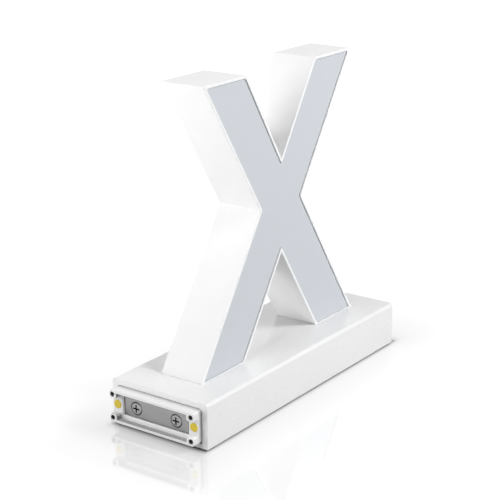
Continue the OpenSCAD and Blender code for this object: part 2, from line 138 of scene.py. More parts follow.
def makeSky():
    world = bpy.data.worlds.new("studioSky")
    world.use_nodes = True
    tree = world.node_tree
    tree.nodes.clear()
    light = tree.nodes.new("ShaderNodeBackground")
    light.inputs["Strength"].default_value = studio["sky"]
    white = tree.nodes.new("ShaderNodeBackground")
    for shade in (light, white):
        shade.inputs["Color"].default_value = (1, 1, 1, 1)
    mix = tree.nodes.new("ShaderNodeMixShader")
    out = tree.nodes.new("ShaderNodeOutputWorld")
    tree.links.new(seenRays(tree), mix.inputs[0])
    tree.links.new(light.outputs[0], mix.inputs[1])
    tree.links.new(white.outputs[0], mix.inputs[2])
    tree.links.new(mix.outputs[0], out.inputs[0])
    scene.world = world


def spread(tree, value, fromMin, fromMax, toMin, toMax):
    ranges = tree.nodes.new("ShaderNodeMapRange")
    limits = {"From Min": fromMin, "From Max": fromMax, "To Min": toMin, "To Max": toMax}
    for name, number in limits.items():
        ranges.inputs[name].default_value = number
    tree.links.new(value, ranges.inputs["Value"])
    return ranges.outputs[0]


def makeFloor():
    bm = bmesh.new()
    cuts = studio["floorCuts"]
    bmesh.ops.create_grid(bm, x_segments=cuts, y_segments=cuts, size=studio["floorHalf"])
    mesh = bpy.data.meshes.new("studioFloor")
    bm.to_mesh(mesh)
    bm.free()
    floor = bpy.data.objects.new("studioFloor", mesh)
    scene.collection.objects.link(floor)
    finish = bpy.data.materials.new("floorGloss")
    finish.use_nodes = True
    tree = finish.node_tree
    shader = tree.nodes["Principled BSDF"]
    shader.inputs["Roughness"].default_value = studio["floorRough"]
    shader.inputs["IOR"].default_value = studio["floorIor"]
    shader.inputs["Emission Color"].default_value = (1, 1, 1, 1)
    seen = seenRays(tree)
    white = spread(tree, seen, 0, 1, studio["floorBounce"], studio["floorSeen"])
    tree.links.new(white, shader.inputs["Base Color"])
    # a glow that only the camera and reflections see, faint beside the base and stronger further off: its
    # weak ring round the base is a painted shadow
    away = tree.nodes.new("ShaderNodeTexCoord").outputs["Object"]
    footprint = Vector((*studio["footprint"], 1)) * mm
    middle = Vector((studio["footprintAt"], 0, 0)) * mm
    steps = [
        ("SUBTRACT", middle),
        ("ABSOLUTE", None),
        ("SUBTRACT", footprint),
        ("MAXIMUM", (0, 0, 0)),
        ("MULTIPLY", (studio["endSpread"], 1, 1)),
        ("LENGTH", None),
    ]
    for work, amount in steps:
        step = tree.nodes.new("ShaderNodeVectorMath")
        step.operation = work
        if amount:
            step.inputs[1].default_value = amount
        tree.links.new(away, step.inputs[0])
        away = step.outputs["Value" if work == "LENGTH" else "Vector"]
    far = tree.nodes.new("ShaderNodeValToRGB")
    stops = far.color_ramp.elements
    while len(stops) < len(studio["glow"]):
        stops.new(0.5)
    for stop, (share, strength) in zip(stops, studio["glow"]):
        stop.position = share
        stop.color = (strength, strength, strength, 1)
    tree.links.new(spread(tree, away, 0, studio["glowReach"] * mm, 0, 1), far.inputs[0])
    glow = tree.nodes.new("ShaderNodeMath")
    glow.operation = "MULTIPLY"
    tree.links.new(seen, glow.inputs[0])
    tree.links.new(far.outputs[0], glow.inputs[1])
    tree.links.new(glow.outputs[0], shader.inputs["Emission Strength"])
    mesh.materials.append(finish)


def hangLamp(name, at, towards, side, watts):
    data = bpy.data.lights.new(name, "AREA")
    data.size = side * mm
    data.energy = watts
    lamp = bpy.data.objects.new(name, data)
    lamp.location = Vector(at) * mm
    lamp.rotation_euler = towards.to_track_quat("-Z", "Y").to_euler()
    lamp.visible_camera = False
    lamp.visible_glossy = name == "keyPanel"  # the others leave no glare on the metal
    scene.collection.objects.link(lamp)


def hangLamps():
    aim = Vector((0, 0, studio["aim"]))
    for name, (turn, rise, watts) in studio["lamps"].items():
        out = outward(math.radians(turn), math.radians(rise))
        hangLamp(name, aim + out * studio["away"], -out, studio["side"], watts)
    card = studio["card"]
    hangLamp("floorCard", card["at"], Vector((0, 0, 1)), card["side"], card["watts"])


makeSky()
makeFloor()
hangLamps()
print("stage: floor, sky and", len(studio["lamps"]) + 1, "lamps")


# finishes: each starts from a shader and the piece's own coordinates
def grey(value):
    return (value, value, value)


def startFinish(name, metal=0.0, rough=0.4, gloss=0.25):
    finish = bpy.data.materials.new(name)
    finish.use_nodes = True
    tree = finish.node_tree
    shader = tree.nodes["Principled BSDF"]
    shader.inputs["Metallic"].default_value = metal
    shader.inputs["Roughness"].default_value = rough
    shader.inputs["Specular IOR Level"].default_value = 0.5 if metal else gloss
    place = tree.nodes.new("ShaderNodeTexCoord").outputs["Object"]
    return finish, tree, shader, place


def speckle(tree, place, grain, detail=3.0, stretch=(1, 1, 1)):
    # soft noise whose grains are that many mm across
    mapping = tree.nodes.new("ShaderNodeMapping")
    mapping.inputs["Scale"].default_value = stretch
    noise = tree.nodes.new("ShaderNodeTexNoise")
    noise.inputs["Scale"].default_value = 1 / (grain * mm)
    noise.inputs["Detail"].default_value = detail
    tree.links.new(place, mapping.inputs["Vector"])
    tree.links.new(mapping.outputs[0], noise.inputs["Vector"])
    return noise.outputs["Fac"]


def tint(tree, shader, mask, dark, light, low=0.35, high=0.65):
    ramp = tree.nodes.new("ShaderNodeValToRGB")
    ramp.color_ramp.elements[0].position = low
    ramp.color_ramp.elements[0].color = (*dark, 1)
    ramp.color_ramp.elements[1].position = high
    ramp.color_ramp.elements[1].color = (*light, 1)
    tree.links.new(mask, ramp.inputs[0])
    tree.links.new(ramp.outputs[0], shader.inputs["Base Color"])


def sheen(tree, shader, mask, smooth, dull, low=0.3, high=0.7):
    tree.links.new(spread(tree, mask, low, high, smooth, dull), shader.inputs["Roughness"])


def relief(tree, shader, mask, depth, strength=0.5):
    # depth in mm
    bump = tree.nodes.new("ShaderNodeBump")
    bump.inputs["Strength"].default_value = strength
    bump.inputs["Distance"].default_value = depth * mm
    tree.links.new(mask, bump.inputs["Height"])
    tree.links.new(bump.outputs[0], shader.inputs["Normal"])


def mouldedBase():
    finish, tree, shader, place = startFinish("mouldedBase", gloss=0.9)
    shader.inputs["Coat Weight"].default_value = 1.0
    shader.inputs["Coat Roughness"].default_value = 0.18
    grain = speckle(tree, place, 0.55, 5)
    tint(tree, shader, grain, grey(0.735), grey(0.775))
    sheen(tree, shader, grain, 0.27, 0.33)
    relief(tree, shader, grain, 0.05, 0.35)
    return finish


def mouldedCover():
    finish, tree, shader, place = startFinish("mouldedCover")
    grain = speckle(tree, place, 0.7, 5)
    tint(tree, shader, grain, grey(0.67), grey(0.72))
    sheen(tree, shader, speckle(tree, place, 10), 0.5, 0.6)
    relief(tree, shader, grain, 0.06, 0.4)
    return finish


def letterSatin():
    finish, tree, shader, place = startFinish("letterSatin", gloss=0.1)
    tint(tree, shader, speckle(tree, place, 9), (0.853, 0.853, 0.856), (0.863, 0.863, 0.866))
    sheen(tree, shader, speckle(tree, place, 6), 0.5, 0.53)
    relief(tree, shader, speckle(tree, place, 1.6, 2), 0.01, 0.25)
    return finish


def frostedSheet():
    finish, tree, shader, place = startFinish("frostedSheet")
    grain = speckle(tree, place, 0.3, 4)
    tint(tree, shader, grain, (0.556, 0.581, 0.619), (0.572, 0.597, 0.635))
    sheen(tree, shader, speckle(tree, place, 5), 0.52, 0.6)
    relief(tree, shader, grain, 0.015, 0.3)
    return finish


def plugSatin():
    finish, tree, shader, place = startFinish("plugSatin", gloss=0.5)
    grain = speckle(tree, place, 0.5, 4)
    tint(tree, shader, grain, grey(0.74), grey(0.78))
    sheen(tree, shader, speckle(tree, place, 2.5), 0.32, 0.42)
    relief(tree, shader, grain, 0.012, 0.3)
    return finish


hairline = {"width": 0.22, "drawnOut": 0.04, "shade": 0.86, "cool": 1.005}


def brushedNickel(name, light, rough, run):
    # hairlines along one axis
    finish, tree, shader, place = startFinish(name, metal=1.0)
    stretch = [hairline["drawnOut"] if axis == run else 1 for axis in "XYZ"]
    lines = speckle(tree, place, hairline["width"], 3, stretch)
    tint(tree, shader, lines, grey(light * hairline["shade"]), (light, light, light * hairline["cool"]))
    sheen(tree, shader, lines, rough - 0.06, rough + 0.08)
    relief(tree, shader, lines, 0.006, 0.3)
    return finish


def platedMetal(name, dark, light, rough):
    finish, tree, shader, place = startFinish(name, metal=1.0)
    cloud = speckle(tree, place, 0.9, 4)
    tint(tree, shader, cloud, dark, light)
    sheen(tree, shader, cloud, rough - 0.04, rough + 0.06)
    relief(tree, shader, speckle(tree, place, 0.25, 2), 0.004, 0.3)
    return finish


def rubber(name, dark, light):
    finish, tree, shader, place = startFinish(name)
    grain = speckle(tree, place, 0.4, 5)
    tint(tree, shader, grain, dark, light)
    sheen(tree, shader, speckle(tree, place, 3), 0.7, 0.85)
    relief(tree, shader, grain, 0.03, 0.5)
    return finish


traces = {"width": 0.06, "shade": 0.94}


def circuitBoard(name, mask, copper, step):
    # traces in the lacquer, on a grid of that many mm
    finish, tree, shader, place = startFinish(name)
    tiles = tree.nodes.new("ShaderNodeTexBrick")
    tiles.inputs["Scale"].default_value = 1 / (step * mm)
    tiles.inputs["Mortar Size"].default_value = traces["width"]
    tiles.inputs["Color1"].default_value = (*mask, 1)
    tiles.inputs["Color2"].default_value = (*[c * traces["shade"] for c in mask], 1)
    tiles.inputs["Mortar"].default_value = (*copper, 1)
    tree.links.new(place, tiles.inputs["Vector"])
    tree.links.new(tiles.outputs["Color"], shader.inputs["Base Color"])
    sheen(tree, shader, speckle(tree, place, 4), 0.3, 0.4)
    relief(tree, shader, tiles.outputs["Fac"], 0.03, 0.4)
    return finish


def plainPlastic(name, dark, light, grain, rough):
    finish, tree, shader, place = startFinish(name)
    spots = speckle(tree, place, grain, 4)
    tint(tree, shader, spots, dark, light)
    sheen(tree, shader, spots, rough - 0.06, rough + 0.06)
    relief(tree, shader, spots, 0.015, 0.3)
    return finish


finishes = {  # by the record's slot
    "base_white": mouldedBase(),
    "cover_white": mouldedCover(),
    "letter_white": letterSatin(),
    "diffuser_grey": frostedSheet(),
    "frame_white": plugSatin(),
    "magnet_nickel": brushedNickel("magnetNickel", 0.37, 0.36, "Y"),
    "bright_screw": platedMetal("screwNickel", (0.31, 0.31, 0.313), grey(0.39), 0.2),
    "contact_gold": platedMetal("contactGold", (0.64, 0.505, 0.066), (0.72, 0.57, 0.08), 0.5),
    "steel_screw": platedMetal("zincScrew", (0.5, 0.5, 0.51), (0.62, 0.62, 0.63), 0.28),
    "block_alloy": brushedNickel("milledAlloy", 0.62, 0.36, "X"),
    "pin_steel": brushedNickel("pinSteel", 0.66, 0.2, "X"),
    "spring_steel": platedMetal("springWire", (0.42, 0.42, 0.43), (0.55, 0.55, 0.56), 0.25),
    "foot_rubber": rubber("footRubber", (0.02, 0.02, 0.022), (0.035, 0.035, 0.037)),
    "bush_rubber": rubber("bushRubber", (0.015, 0.015, 0.016), (0.028, 0.028, 0.03)),
    "board_white": circuitBoard("lightBoard", (0.8, 0.8, 0.77), (0.72, 0.68, 0.55), 4.0),
    "board_green": circuitBoard("driverBoard", (0.02, 0.16, 0.06), (0.05, 0.24, 0.1), 3.0),
    "chip_yellow": plainPlastic("chipPhosphor", (0.75, 0.6, 0.12), (0.82, 0.68, 0.2), 0.3, 0.35),
    "component_black": plainPlastic("componentBlack", grey(0.012), grey(0.025), 0.3, 0.45),
    "lead_black": plainPlastic("leadBlack", grey(0.01), grey(0.02), 0.5, 0.4),
    "lead_red": plainPlastic("leadRed", (0.4, 0.012, 0.01), (0.5, 0.02, 0.015), 0.5, 0.4),
}
paintedBoreShade = plainPlastic("paintedBoreShade", grey(0.16), grey(0.2), 0.5, 0.6)  # painted shade inside the plug's guide holes
paintedLedgeShade = plainPlastic("paintedLedgeShade", grey(0.43), grey(0.47), 0.5, 0.5)  # and painted shade inside its hood
slotOf = {part["node"]: part["material_slot"] for part in frame["record"]["subparts"]}
for nodeName, node in frame["nodes"].items():
    node.data.materials.clear()
    node.data.materials.append(finishes[slotOf[nodeName]])
print("finishes:", len(finishes))


# modelling: shapes are drawn in mm and brought to metres at the end
slack = 0.01  # mm, still the same place
thin = 0.002  # mm, still the same plane
weld = 0.0005  # mm, still the same point
snap = 0.0001  # mm, a cut this close to a point goes through it
straight = 0.999  # share of an edge that runs along its axis
cornerTurn = 0.6  # radians, from here two faces make a corner
sharpFrom = 40  # degrees, from here an edge is shaded sharp
flatBelow = 0.01  # radians, below this two faces are one
quarterTurn = [math.radians(angle) for angle in range(0, 91, 15)]
postSteps = 24


def spanOf(nodeName):
    low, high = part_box(nodeName)
    return low / mm, high / mm


def turnBy(angle, axis):
    return Matrix.Rotation(math.radians(angle), 4, axis)


facing = {0: turnBy(90, "Y"), 1: turnBy(90, "X"), 2: Matrix.Identity(4)}  # z onto an axis


def only(kind, geom):
    return [part for part in geom if isinstance(part, kind)]


def unique(parts):
    return list(dict.fromkeys(parts))  # each once, in the same order on every run


def boxBetween(bm, low, high):
    low, high = Vector(low), Vector(high)
    verts = bmesh.ops.create_cube(bm, size=1)["verts"]
    bmesh.ops.scale(bm, vec=high - low, verts=verts)
    bmesh.ops.translate(bm, vec=(low + high) / 2, verts=verts)


def sliceAt(bm, axis, levels):
    across = Vector([float(k == axis) for k in range(3)])
    for level in levels:
        every = bm.verts[:] + bm.edges[:] + bm.faces[:]
        bmesh.ops.bisect_plane(bm, geom=every, dist=snap, plane_co=across * level, plane_no=across)


def facesOn(bm, axis, level, accept=None):
    found = [f for f in bm.faces if all(abs(v.co[axis] - level) < thin for v in f.verts)]
    return [f for f in found if accept is None or accept(f.calc_center_median())]


def edgesAlong(bm, axis, accept):
    # accept looks at an edge's middle and length
    found = []
    for edge in bm.edges:
        run = edge.verts[1].co - edge.verts[0].co
        middle = (edge.verts[0].co + edge.verts[1].co) / 2
        if abs(run[axis]) > straight * run.length and accept(middle, run.length):
            found.append(edge)
    return found


def edgesOfLength(bm, axis, length):
    return edgesAlong(bm, axis, lambda middle, run: abs(run - length) < slack)


def rimOn(bm, axis, level, accept=None):
    # edges in one plane where two faces turn a corner
    bm.normal_update()
    found = []
    for edge in bm.edges:
        middle = (edge.verts[0].co + edge.verts[1].co) / 2
        flat = all(abs(v.co[axis] - level) < thin for v in edge.verts)
        if flat and len(edge.link_faces) == 2 and edge.calc_face_angle() > cornerTurn:
            if accept is None or accept(middle):
                found.append(edge)
    return found


def roundEdges(bm, edges, radius, steps=3):
    bmesh.ops.bevel(bm, geom=edges, offset=radius, offset_type="OFFSET", affect="EDGES",
                    segments=steps, profile=0.5, material=-1, clamp_overlap=True)


def farSide(geom):
    # points and edges at the far side of what an extrusion made
    verts = only(bmesh.types.BMVert, geom)
    return verts, [e for e in only(bmesh.types.BMEdge, geom) if all(v in verts for v in e.verts)]


def pushFaces(bm, faces, step):
    # the edges go in too, or the faces would stay behind as walls
    edges = unique(e for f in faces for e in f.edges)
    grown = bmesh.ops.extrude_face_region(bm, geom=faces + edges)["geom"]
    bmesh.ops.translate(bm, vec=step, verts=only(bmesh.types.BMVert, grown))
    return only(bmesh.types.BMFace, grown)


def centreAt(centre, axis, level):
    moved = Vector(centre)
    moved[axis] = level
    return moved


def ringAt(bm, axis, centre, radius, steps=32):
    place = Matrix.Translation(centre) @ facing[axis]
    verts = bmesh.ops.create_circle(bm, segments=steps, radius=radius, matrix=place)["verts"]
    return unique(edge for v in verts for edge in v.link_edges)


def cutHoles(bm, axis, level, holes):
    # the flat faces of one plane are filled anew round the holes, whose rims come back
    faces = facesOn(bm, axis, level)
    edges = unique(e for f in faces for e in f.edges)
    inside = [e for e in edges if len(e.link_faces) > 1 and all(f in faces for f in e.link_faces)]
    border = [e for e in edges if e not in inside]
    bmesh.ops.delete(bm, geom=faces, context="FACES_ONLY")
    bmesh.ops.delete(bm, geom=inside, context="EDGES")
    rims = [ringAt(bm, axis, centreAt(centre, axis, level), radius) for centre, radius in holes]
    bmesh.ops.triangle_fill(bm, use_beauty=True, use_dissolve=False,
                            edges=border + [e for rim in rims for e in rim])
    return rims


def growRim(bm, rim, axis, centre, profile):
    # a round rim goes on through points of radius and level
    for radius, level in profile:
        verts, rim = farSide(bmesh.ops.extrude_edge_only(bm, edges=rim)["geom"])
        for v in verts:
            out = v.co - Vector(centre)
            out[axis] = 0
            v.co = Vector(centre) + out.normalized() * radius
            v.co[axis] = level
    return rim


def blindHoles(bm, axis, level, holes, profile):
    for (centre, _), rim in zip(holes, cutHoles(bm, axis, level, holes)):
        bmesh.ops.edgeloop_fill(bm, edges=growRim(bm, rim, axis, centre, profile))


def throughHoles(bm, axis, levels, holes, profile=()):
    # from the first level to the second, with the profile's points in between
    ends = [(centre, profile[-1][0] if profile else radius) for centre, radius in holes]
    near = cutHoles(bm, axis, levels[0], holes)
    far = cutHoles(bm, axis, levels[1], ends)
    for (centre, _), first, second in zip(holes, near, far):
        bmesh.ops.bridge_loops(bm, edges=growRim(bm, first, axis, centre, profile) + second)


def spinProfile(bm, profile, place, steps=40):
    # points of radius and height, turned once about z and put in place
    before = set(bm.verts)
    verts = [bm.verts.new((radius, 0, height)) for radius, height in profile]
    edges = [bm.edges.new(pair) for pair in zip(verts, verts[1:])]
    bmesh.ops.spin(bm, geom=verts + edges, cent=(0, 0, 0), axis=(0, 0, 1), dvec=(0, 0, 0),
                   angle=math.tau, steps=steps, use_merge=True, use_duplicate=False)
    bmesh.ops.remove_doubles(bm, verts=[v for v in bm.verts if v not in before], dist=weld)
    bmesh.ops.transform(bm, matrix=place, verts=[v for v in bm.verts if v not in before])


def spinTube(bm, outer, bore, length, depth, place):
    # a post with a bore from its near end, which stops short or goes through
    inside = [(0, depth), (bore, depth)] if depth < length else [(bore, length)]
    close = (0, length) if depth < length else (bore, length)
    spinProfile(bm, [*inside, (bore, 0), (outer, 0), (outer, length), close], place, postSteps)


def solidCentres(nodeName):
    # middle of each separate solid in a CAD node
    bm = bmesh.new()
    bm.from_mesh(frame["nodes"][nodeName].data)
    bmesh.ops.remove_doubles(bm, verts=bm.verts, dist=slack * mm)
    waiting, centres = set(bm.verts), []
    while waiting:
        reach, island = [waiting.pop()], []
        while reach:
            v = reach.pop()
            island.append(v.co / mm)
            near = {e.other_vert(v) for e in v.link_edges} & waiting
            waiting -= near
            reach.extend(near)
        ends = [[pick(p[k] for p in island) for k in range(3)] for pick in (min, max)]
        centres.append((Vector(ends[0]) + Vector(ends[1])) / 2)
    bm.free()
    return sorted(centres, key=lambda c: (round(c.x, 1), round(c.y, 1), round(c.z, 1)))


def makePiece(name, bm, nodeName, body="sign", place=None):
    bmesh.ops.remove_doubles(bm, verts=bm.verts, dist=weld)
    bmesh.ops.dissolve_degenerate(bm, dist=weld, edges=bm.edges[:])
    bmesh.ops.recalc_face_normals(bm, faces=bm.faces)
    if place:
        bmesh.ops.transform(bm, matrix=place, verts=bm.verts)
    bmesh.ops.scale(bm, vec=(mm, mm, mm), verts=bm.verts)
    for face in bm.faces:
        face.smooth = True
    mesh = bpy.data.meshes.new(name)
    bm.to_mesh(mesh)
    bm.free()
    mesh.set_sharp_from_angle(angle=math.radians(sharpFrom))
    slot = slotOf[nodeName]
    mesh.materials.append(finishes[slot])
    piece = bpy.data.objects.new(name, mesh)
    scene.collection.objects.link(piece)
    shade = piece.modifiers.new("evenShade", "WEIGHTED_NORMAL")
    shade.keep_sharp = True
    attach(piece, body)
    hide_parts(nodeName)
    return piece


# letter: a shell with a lip round the diffuser and another round the back panel
letter = {
    "right": [(27.6, 0), (58, 0), (15.6, 64.5), (54, 124), (25, 124)],  # from the foot's inner corner
    "notch": 84.2,
    "crotch": 42.3,
    "lip": 1.2,
    "footLip": 0.15,  # the opening comes closer to the base
    "legSlope": 0.655,  # sideways for each mm down
    "wall": 2.0,
    "sheet": 2.0,
    "panel": 2.0,
    "sheetGap": 0.2,
    "panelGap": 0.15,
    "outerCorner": 0.35,
    "openingCorner": 1.1,
    "sheetCorner": 0.95,
    "cornerSteps": 5,
    "rim": 0.24,
    "sheetRim": 0.15,
    "bossRadius": 2.6,
    "bossBore": 1.25,
    "bossDepth": 10.0,
    "headHole": 2.25,
    "headSink": 1.15,
    "standoff": 2.0,
    "standoffRadius": 2.5,
    "standoffBore": 1.05,
    "anchorHole": 1.5,
    "bushHole": 2.55,
}
letterLow, letterHigh = spanOf("letter_shell")
letterMiddle = (letterLow.x + letterHigh.x) / 2
sheetFront = spanOf("front_diffuser")[0].y
panelFront, panelBack = letterHigh.y - letter["panel"], letterHigh.y
panelScrews = solidCentres("back_panel_screws")
footHoles = [(screw, letter["anchorHole"]) for screw in solidCentres("letter_fixing_screws")]
footHoles += [(bush, letter["bushHole"]) for bush in solidCentres("cable_bush")]


def letterFace(bm, y):
    path = [(0, letter["crotch"]), *letter["right"], (0, letter["notch"])]
    verts = [bm.verts.new((x, y, z)) for x, z in path]
    edges = [bm.edges.new(pair) for pair in zip(verts, verts[1:])]
    bmesh.ops.mirror(bm, geom=verts + edges, axis="X", merge_dist=weld)
    bmesh.ops.translate(bm, vec=(letterMiddle, 0, letterLow.z), verts=bm.verts)
    return bmesh.ops.edgeloop_fill(bm, edges=bm.edges[:])["faces"][0]


def insetFace(bm, face, width):
    return bmesh.ops.inset_region(bm, faces=[face], thickness=width, depth=0, use_boundary=True,
                                  use_even_offset=True)["faces"]


def lowerFeet(bm, face, drop):
    # the foot's edge slides down along the legs
    level = min(v.co.z for v in face.verts)
    for side in (-1, 1):
        ends = [v for v in face.verts if v.co.z < level + slack and side * (v.co.x - letterMiddle) > 0]
        bmesh.ops.translate(bm, vec=(side * drop * letter["legSlope"], 0, -drop), verts=ends)


def makeLetterShell():
    bm = bmesh.new()
    depth = letterHigh.y - letterLow.y
    seat = sheetFront + letter["sheet"] - letterLow.y
    inner = depth - seat - letter["panel"]
    step = letter["wall"] - letter["lip"]
    drop = letter["lip"] - letter["footLip"]
    front = letterFace(bm, letterLow.y)
    back = pushFaces(bm, [front], (0, depth, 0))[0]
    insetFace(bm, front, letter["lip"])
    lowerFeet(bm, front, drop)
    front = pushFaces(bm, [front], (0, seat, 0))[0]
    insetFace(bm, front, step)
    lowerFeet(bm, front, -drop)
    insetFace(bm, back, letter["lip"])
    back = pushFaces(bm, [back], (0, -letter["panel"], 0))[0]
    insetFace(bm, back, step)
    mouths = [*front.edges, *back.edges]
    bmesh.ops.delete(bm, geom=[front, back], context="FACES_ONLY")
    bmesh.ops.bridge_loops(bm, edges=mouths)
    bmesh.ops.recalc_face_normals(bm, faces=bm.faces)
    # corners by the length of their edges, then the rims of the opening and the outline
    corners = [(depth, letter["outerCorner"]), (seat, letter["openingCorner"]),
               (letter["panel"], letter["openingCorner"]), (inner, step)]
    for length, radius in corners:
        roundEdges(bm, edgesOfLength(bm, 1, length), radius, letter["cornerSteps"])
    for level in (letterLow.y, letterHigh.y):
        roundEdges(bm, rimOn(bm, 1, level, lambda c: c.z > letterLow.z + letter["lip"]), letter["rim"])
    throughHoles(bm, 2, (letterLow.z, letterLow.z + letter["wall"]), footHoles)
    for screw in panelScrews:
        place = Matrix.Translation((screw.x, panelFront, screw.z)) @ facing[1]
        spinTube(bm, letter["bossRadius"], letter["bossBore"], inner, letter["bossDepth"], place)
    makePiece("letterShell", bm, "letter_shell")


def sheetBlank(y, inward, thickness, drop=0.0):
    # a plate that fills the letter's outline, held in by that much
    bm = bmesh.new()
    face = letterFace(bm, y)
    bmesh.ops.delete(bm, geom=insetFace(bm, face, inward), context="FACES")
    lowerFeet(bm, face, drop)
    pushFaces(bm, [face], (0, thickness, 0))
    bmesh.ops.recalc_face_normals(bm, faces=bm.faces)
    roundEdges(bm, edgesOfLength(bm, 1, thickness), letter["sheetCorner"], letter["cornerSteps"])
    return bm


def makeDiffuser():
    bm = sheetBlank(sheetFront, letter["lip"] + letter["sheetGap"], letter["sheet"],
                    letter["lip"] - letter["footLip"])
    roundEdges(bm, rimOn(bm, 1, sheetFront), letter["sheetRim"])
    makePiece("frontDiffuser", bm, "front_diffuser")


def makeBackPanel():
    bm = sheetBlank(panelFront, letter["lip"] + letter["panelGap"], letter["panel"])
    roundEdges(bm, rimOn(bm, 1, panelBack), letter["sheetRim"])
    throughHoles(bm, 1, (panelBack, panelFront), [(screw, letter["headHole"]) for screw in panelScrews],
                 [(letter["bossBore"], panelBack - letter["headSink"])])
    for screw in solidCentres("led_board_screws"):
        place = Matrix.Translation((screw.x, panelFront, screw.z)) @ facing[1]
        spinTube(bm, letter["standoffRadius"], letter["standoffBore"], letter["standoff"],
                 letter["standoff"], place)
    makePiece("backPanel", bm, "back_panel")


makeLetterShell()
makeDiffuser()
makeBackPanel()
print("letter: shell, diffuser and back panel")

# base: an upturned trough with posts inside, closed by a flat cover on four feet
base = {
    "topWall": 2.5,
    "sideWall": 2.7,
    "outerRound": 1.5,
    "outerSteps": 12,
    "innerRound": 1.5,
    "innerSteps": 6,
    "endRim": 0.35,
    "endSteps": 4,
    "footRim": 0.3,
    "postRadius": 3.0,
    "postBore": 1.5,
    "postDepth": 6.8,
    "postsFrom": 15,  # screws further out than this go into posts
    "cover": 2.2,
    "coverGap": 0.15,
    "coverRim": 0.3,
    "headHole": 2.85,
    "headSink": 1.55,
    "footHole": 4.55,
    "footSink": 0.7,
    "standoffRadius": 2.5,
    "standoffBore": 1.05,
    "standoff": 3.0,
}
baseLow, baseHigh = spanOf("base_shell")
coverTop = baseLow.z + base["cover"]
undersideScrews = solidCentres("underside_screws")
feet = {
    "footFrontLeft": "foot_front_left",
    "footFrontRight": "foot_front_right",
    "footRearLeft": "foot_rear_left",
    "footRearRight": "foot_rear_right",
}
footProfile = [  # radius and height, a low dish that stands on its ring
    (0, 0.1), (2.6, 0.1), (2.85, 0), (4.15, 0), (4.4, 0.08), (4.5, 0.3), (4.5, 1.2), (0, 1.2),
]


def makeBaseShell():
    bm = bmesh.new()
    low, top, half = baseLow.z, baseHigh.z, baseHigh.y
    roof, side = top - base["topWall"], half - base["sideWall"]
    outside = [(-half, low), (-half, top), (half, top), (half, low)]
    inside = [(side, low), (side, roof), (-side, roof), (-side, low)]
    end = bm.faces.new([bm.verts.new((baseLow.x, y, z)) for y, z in outside + inside])
    pushFaces(bm, [end], (baseHigh.x - baseLow.x, 0, 0))
    bmesh.ops.recalc_face_normals(bm, faces=bm.faces)
    for level, kind in ((top, "outer"), (roof, "inner")):
        edges = edgesAlong(bm, 0, lambda middle, run: abs(middle.z - level) < slack)
        roundEdges(bm, edges, base[kind + "Round"], base[kind + "Steps"])
    for level in (baseLow.x, baseHigh.x):  # only the outer rim, the inner one fits close round the frame
        rim = rimOn(bm, 0, level, lambda c: abs(c.y) > side + slack or c.z > roof + slack)
        roundEdges(bm, rim, base["endRim"], base["endSteps"])
    foot = edgesAlong(bm, 0, lambda middle, run: middle.z < low + slack and abs(middle.y) > half - slack)
    roundEdges(bm, foot, base["footRim"])
    throughHoles(bm, 2, (top, roof), footHoles)
    for screw in undersideScrews:
        if abs(screw.y) > base["postsFrom"]:
            spinTube(bm, base["postRadius"], base["postBore"], roof - coverTop, base["postDepth"],
                     Matrix.Translation((screw.x, screw.y, coverTop)))
    makePiece("baseShell", bm, "base_shell")


def makeBottomCover():
    bm = bmesh.new()
    wide = baseHigh.y - base["sideWall"] - base["coverGap"]
    boxBetween(bm, (baseLow.x, -wide, baseLow.z), (baseHigh.x, wide, coverTop))
    roundEdges(bm, rimOn(bm, 2, baseLow.z), base["coverRim"])
    heads = [(screw, base["headHole"]) for screw in undersideScrews]
    seats = [((spanOf(node)[0] + spanOf(node)[1]) / 2, base["footHole"]) for node in feet.values()]
    rims = cutHoles(bm, 2, baseLow.z, heads + seats)
    bores = cutHoles(bm, 2, coverTop, [(screw, base["postBore"]) for screw in undersideScrews])
    for (centre, radius), rim in zip(heads + seats, rims):
        if radius == base["footHole"]:
            floor = growRim(bm, rim, 2, centre, [(radius, baseLow.z + base["footSink"])])
            bmesh.ops.edgeloop_fill(bm, edges=floor)
        else:
            sink = growRim(bm, rim, 2, centre, [(base["postBore"], baseLow.z + base["headSink"])])
            bmesh.ops.bridge_loops(bm, edges=sink + bores.pop(0))
    for screw in solidCentres("board_screws"):
        spinTube(bm, base["standoffRadius"], base["standoffBore"], base["standoff"], base["standoff"],
                 Matrix.Translation((screw.x, screw.y, coverTop)))
    makePiece("bottomCover", bm, "bottom_cover")


def makeFeet():
    for name, nodeName in feet.items():
        low, high = spanOf(nodeName)
        bm = bmesh.new()
        spinProfile(bm, footProfile, Matrix.Translation(((low.x + high.x) / 2, (low.y + high.y) / 2, 0)))
        makePiece(name, bm, nodeName)


makeBaseShell()
makeBottomCover()
makeFeet()
print("base: shell, cover and", len(feet), "feet")

# plug and socket: x runs out of the base, from its end and half its height
connector = {
    "width": 44.1,
    "height": 14.4,
    "corner": 0.8,
    "cornerSteps": 5,
    "tailLength": 8.0,
    "tailHalf": 16.0,
    "tailTop": 0.8,
    "tailScrew": 12.0,
    "tailScrewTop": -1.0,
    "screwHole": 1.5,
    "screwY": 10.5,
    "contactY": 20.1,
    "guideY": 20.6,
    "guideZ": 5.25,
    "rim": 0.22,
}
plug = {
    "back": -7.0,
    "bezel": 2.5,
    "out": 5.4,
    "hood": 1.2,
    "boss": 3.6,
    "pocket": (34.0, 8.6),
    "chamfer": 0.6,
    "pocketFloor": -2.2,
    "boreEnd": -6.2,
    "guideHole": 1.05,
    "guideEnd": 0.0,
    "guideMouth": 1.22,
    "mouthDepth": 0.17,
    "paintedShadeFrom": 0.1,  # how far in the holes the painted shade starts
    "studHole": 1.05,
    "tailScrewX": -11.0,
    "magnetFace": 1.8,
}
